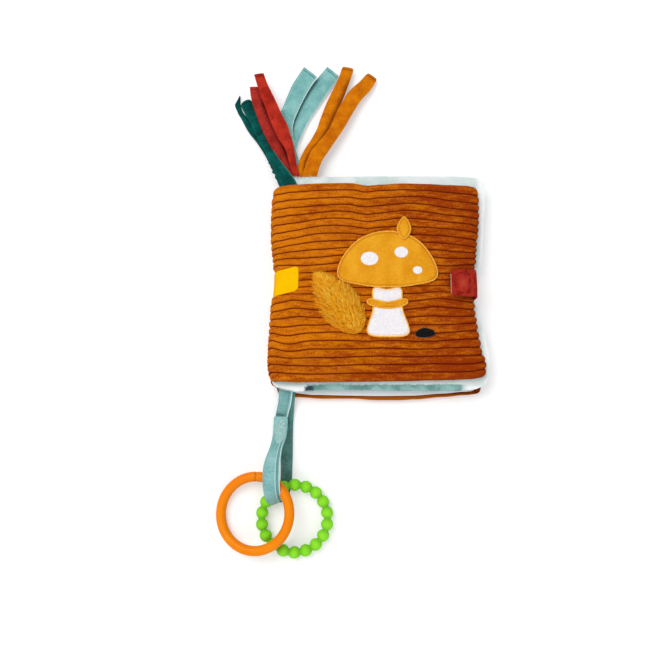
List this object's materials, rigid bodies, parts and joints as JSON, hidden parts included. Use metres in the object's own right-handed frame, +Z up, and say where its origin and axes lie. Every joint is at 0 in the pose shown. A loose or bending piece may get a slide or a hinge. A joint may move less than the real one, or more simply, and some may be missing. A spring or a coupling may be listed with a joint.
{
  "type": "cloth book",
  "caption": "Padded cloth activity book with corduroy covers, crinkle film inside, a furry applique front, ribbon tails, a fore-edge strap and a strap that carries a ring and a beaded teether.",
  "frame": {"origin": "centre of the back cover's flat underside, where the closed book lies on the table", "axes": "+X from the spine to the fore edge, +Y to the book's top edge, +Z up through the closed book"},
  "size_m": [0.2059, 0.3904, 0.0301],
  "materials": {
    "corduroy": "jumbo corduroy, soft pile",
    "mint": "pale plush, matt",
    "teal_print": "printed cotton, matt",
    "white_lining": "white cotton, matt",
    "batting": "polyester wadding",
    "film": "crinkled film",
    "yellow": "smooth satin weave",
    "red": "brushed hook-and-loop tape",
    "red_ribbon": "velvet ribbon",
    "green_ribbon": "velvet ribbon",
    "blue_ribbon": "velvet ribbon",
    "orange_ribbon": "velvet ribbon",
    "strap": "velvet tape with stitched edges",
    "golden_velvet": "short-pile velvet",
    "golden_fur": "long-haired faux fur",
    "white_felt": "felt",
    "black_felt": "felt",
    "hook": "hook tape",
    "orange_plastic": "moulded, satin gloss",
    "green_silicone": "moulded silicone, satin"
  },
  "bodies": {
    "back_cover": {"back_cover_corduroy": "corduroy", "back_cover_batting": "batting", "back_cover_crinkle_film": "film", "back_cover_lining": "white_lining", "spine_label_lower": "yellow"},
    "leaf": {"leaf_front_fabric": "mint", "leaf_batting": "batting", "leaf_crinkle_film": "film", "leaf_back_fabric": "teal_print"},
    "front_cover": {"front_cover_corduroy": "corduroy", "front_cover_batting": "batting", "front_cover_crinkle_film": "film", "front_cover_lining": "mint", "spine_label_upper": "yellow", "closure_loop_patch": "red", "mushroom_cap": "golden_velvet", "mushroom_stem": "white_felt", "mushroom_collar": "golden_velvet", "felt_pebble": "black_felt", "cap_dot_large": "white_felt", "cap_dot_middle": "white_felt", "cap_dot_small": "white_felt", "fur_leaf": "golden_fur"},
    "flap": {"leaf_flap": "golden_velvet"},
    "closure": {"closure_strap": "red", "closure_hook_patch": "hook"},
    "green_ribbon": {"green_ribbon_left_tail": "green_ribbon", "green_ribbon_right_tail": "green_ribbon"},
    "red_ribbon": {"red_ribbon_left_tail": "red_ribbon", "red_ribbon_right_tail": "red_ribbon"},
    "blue_ribbon": {"blue_ribbon_left_tail": "blue_ribbon", "blue_ribbon_right_tail": "blue_ribbon"},
    "orange_ribbon": {"orange_ribbon_left_tail": "orange_ribbon", "orange_ribbon_right_tail": "orange_ribbon"},
    "toy_strap": {"strap_stub": "strap", "strap_back_leg": "strap", "strap_loop_patch": "hook"},
    "strap_tab": {"strap_front_leg": "strap", "strap_hook_patch": "hook"},
    "orange_ring": {"orange_ring": "orange_plastic"},
    "green_bead_ring": {"green_bead_ring": "green_silicone"}
  },
  "joints": [
    {"name": "leaf_turn", "type": "hinge", "parent": "back_cover", "child": "leaf", "pos_m": [-0.0816, 0, 0.0125], "axis": [0, 1, 0], "range_deg": [-180, 0]},
    {"name": "cover_turn", "type": "hinge", "parent": "leaf", "child": "front_cover", "pos_m": [-0.0816, 0, 0.0125], "axis": [0, -1, 0], "range_deg": [0, 180]},
    {"name": "flap_lift", "type": "hinge", "parent": "front_cover", "child": "flap", "pos_m": [0.02, 0.038, 0.02635], "axis": [1, 0, 0], "range_deg": [0, 120], "deforming": ["leaf_flap"]},
    {"name": "closure_swing", "type": "hinge", "parent": "back_cover", "child": "closure", "pos_m": [0.0762, 0.004, 0.0052], "axis": [0, 1, 0], "range_deg": [0, 90], "deforming": ["closure_strap", "closure_hook_patch"]},
    {"name": "green_ribbon_lift", "type": "hinge", "parent": "back_cover", "child": "green_ribbon", "pos_m": [-0.073, 0.0955, 0.0145], "axis": [1, 0, 0], "range_deg": [0, 90], "deforming": ["green_ribbon_left_tail", "green_ribbon_right_tail"]},
    {"name": "red_ribbon_lift", "type": "hinge", "parent": "back_cover", "child": "red_ribbon", "pos_m": [-0.06, 0.0955, 0.0085], "axis": [1, 0, 0], "range_deg": [0, 90], "deforming": ["red_ribbon_left_tail", "red_ribbon_right_tail"]},
    {"name": "blue_ribbon_lift", "type": "hinge", "parent": "back_cover", "child": "blue_ribbon", "pos_m": [-0.06, 0.0955, 0.0085], "axis": [1, 0, 0], "range_deg": [0, 90], "deforming": ["blue_ribbon_left_tail", "blue_ribbon_right_tail"]},
    {"name": "orange_ribbon_lift", "type": "hinge", "parent": "back_cover", "child": "orange_ribbon", "pos_m": [-0.06, 0.0955, 0.0085], "axis": [1, 0, 0], "range_deg": [0, 90], "deforming": ["orange_ribbon_left_tail", "orange_ribbon_right_tail"]},
    {"name": "strap_lift", "type": "hinge", "parent": "back_cover", "child": "toy_strap", "pos_m": [-0.068, -0.082, 0.0075], "axis": [-1, 0, 0], "range_deg": [0, 90], "deforming": ["strap_stub", "strap_back_leg", "strap_loop_patch"]},
    {"name": "tab_peel", "type": "hinge", "parent": "toy_strap", "child": "strap_tab", "pos_m": [-0.0742, -0.16, 0.003], "axis": [1, 0, 0], "range_deg": [0, 150], "deforming": ["strap_front_leg", "strap_hook_patch"]},
    {"name": "green_ring_turn", "type": "hinge", "parent": "toy_strap", "child": "green_bead_ring", "pos_m": [-0.0618, -0.1687, 0.0057], "axis": [0.0127, -0.0436, 0.999], "continuous": true},
    {"name": "orange_ring_turn", "type": "hinge", "parent": "toy_strap", "child": "orange_ring", "pos_m": [-0.0906, -0.165, 0.01069], "axis": [-0.2509, 0.0121, 0.9679], "continuous": true}
  ]
}
